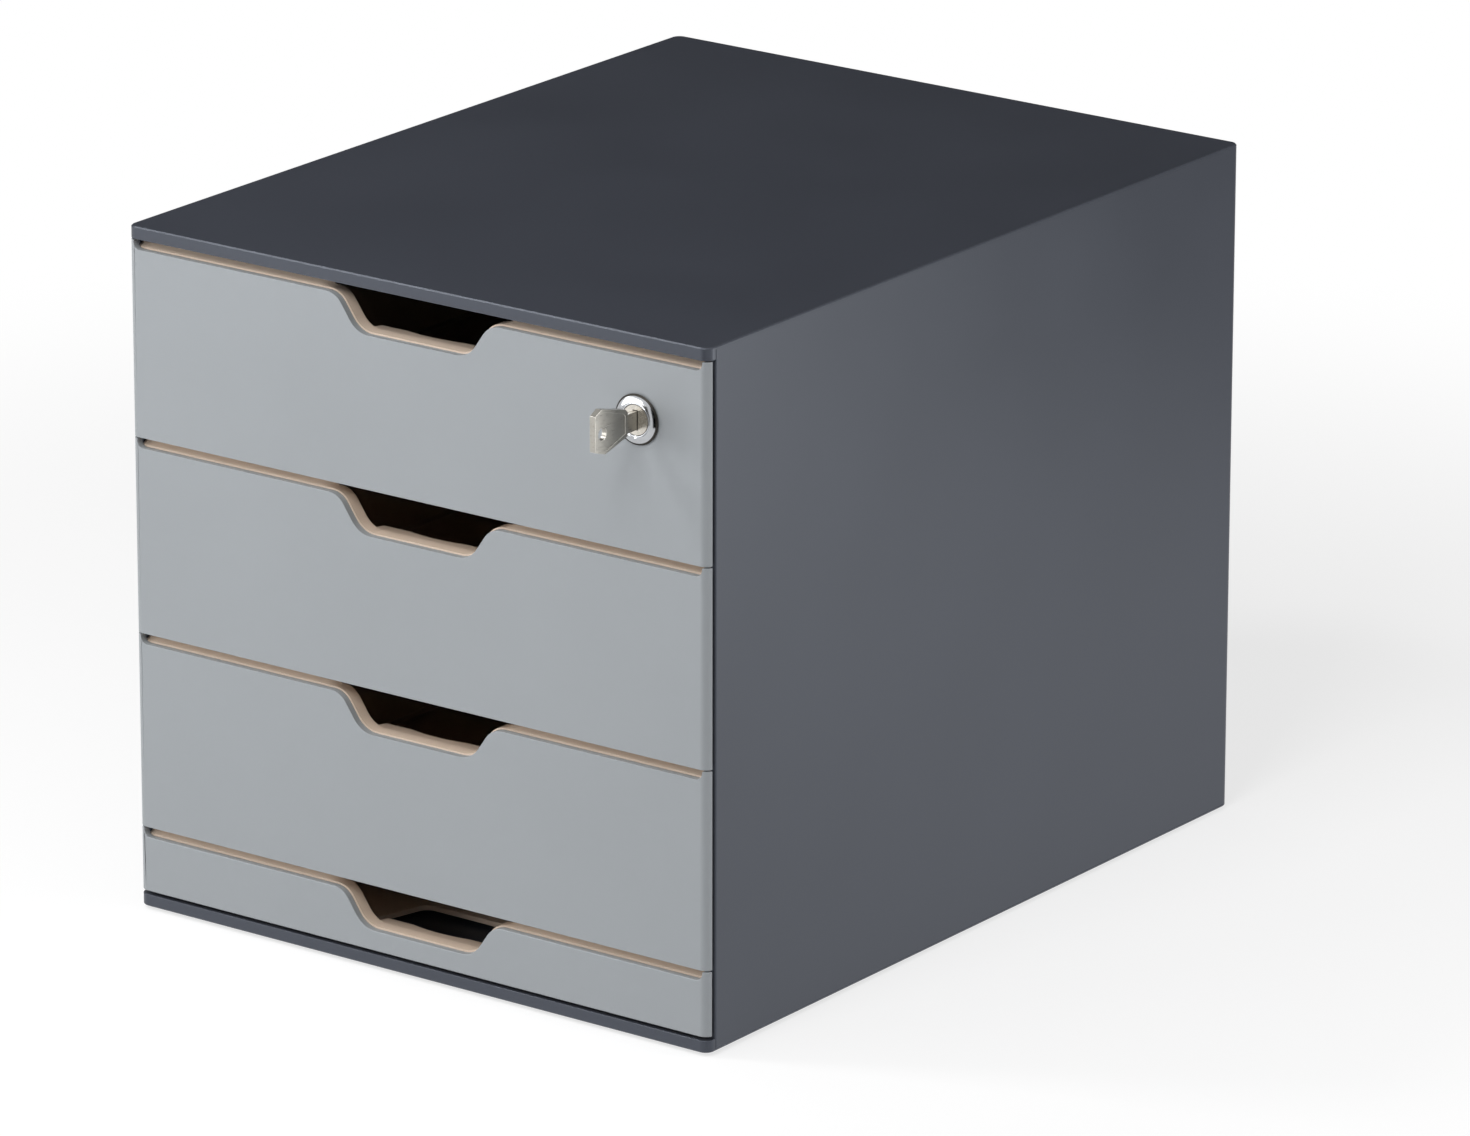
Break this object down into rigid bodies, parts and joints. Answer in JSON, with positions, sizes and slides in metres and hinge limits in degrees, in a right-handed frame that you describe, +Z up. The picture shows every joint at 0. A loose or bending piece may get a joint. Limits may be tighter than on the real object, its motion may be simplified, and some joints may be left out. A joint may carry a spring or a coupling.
{
  "type": "desktop drawer box",
  "caption": "Closed desktop drawer box with a moulded casing, three deep drawers and a shallow one, hand cut-outs, floor finger openings and a cam lock on the top drawer.",
  "frame": {"origin": "middle of the footprint, on the surface that the four feet stand on", "axes": "+Z up, -Y towards the drawer fronts, +X to the right of someone facing the fronts"},
  "size_m": [0.28, 0.3839, 0.281],
  "materials": {
    "casing_plastic": "fine matt mould texture, charcoal",
    "front_plastic": "satin, light grey",
    "tray_plastic": "satin, sand",
    "foot_rubber": "matt rubber",
    "lock_chrome": "polished chrome plate",
    "lock_steel": "zinc plated steel",
    "key_nickel": "nickel plated, stamped"
  },
  "bodies": {
    "casing": {"bottom_panel": "casing_plastic", "left_side_panel": "casing_plastic", "right_side_panel": "casing_plastic", "back_panel": "casing_plastic", "top_panel": "casing_plastic", "lock_keeper": "casing_plastic", "foot_front_left": "foot_rubber", "foot_front_right": "foot_rubber", "foot_rear_left": "foot_rubber", "foot_rear_right": "foot_rubber"},
    "drawer_1": {"drawer_1_tray": "tray_plastic", "drawer_1_front": "front_plastic", "lock_barrel": "lock_chrome", "lock_nut": "lock_steel"},
    "drawer_2": {"drawer_2_tray": "tray_plastic", "drawer_2_front": "front_plastic"},
    "drawer_3": {"drawer_3_tray": "tray_plastic", "drawer_3_front": "front_plastic"},
    "drawer_4": {"drawer_4_tray": "tray_plastic", "drawer_4_front": "front_plastic"},
    "lock": {"lock_plug": "lock_steel", "cam_washer": "lock_steel", "lock_cam": "lock_steel", "cam_screw": "lock_steel"},
    "key": {"lock_key": "key_nickel"}
  },
  "joints": [
    {"name": "drawer_1_slide", "type": "slide", "parent": "casing", "child": "drawer_1", "axis": [0, -1, 0], "range_m": [0, 0.25]},
    {"name": "drawer_2_slide", "type": "slide", "parent": "casing", "child": "drawer_2", "axis": [0, -1, 0], "range_m": [0, 0.25]},
    {"name": "drawer_3_slide", "type": "slide", "parent": "casing", "child": "drawer_3", "axis": [0, -1, 0], "range_m": [0, 0.25]},
    {"name": "drawer_4_slide", "type": "slide", "parent": "casing", "child": "drawer_4", "axis": [0, -1, 0], "range_m": [0, 0.25]},
    {"name": "lock_turn", "type": "hinge", "parent": "drawer_1", "child": "lock", "pos_m": [0.1072, -0.178, 0.248], "axis": [0, 1, 0], "range_deg": [0, 90]},
    {"name": "key_pull", "type": "slide", "parent": "lock", "child": "key", "axis": [0, -1, 0], "range_m": [0, 0.03]}
  ]
}
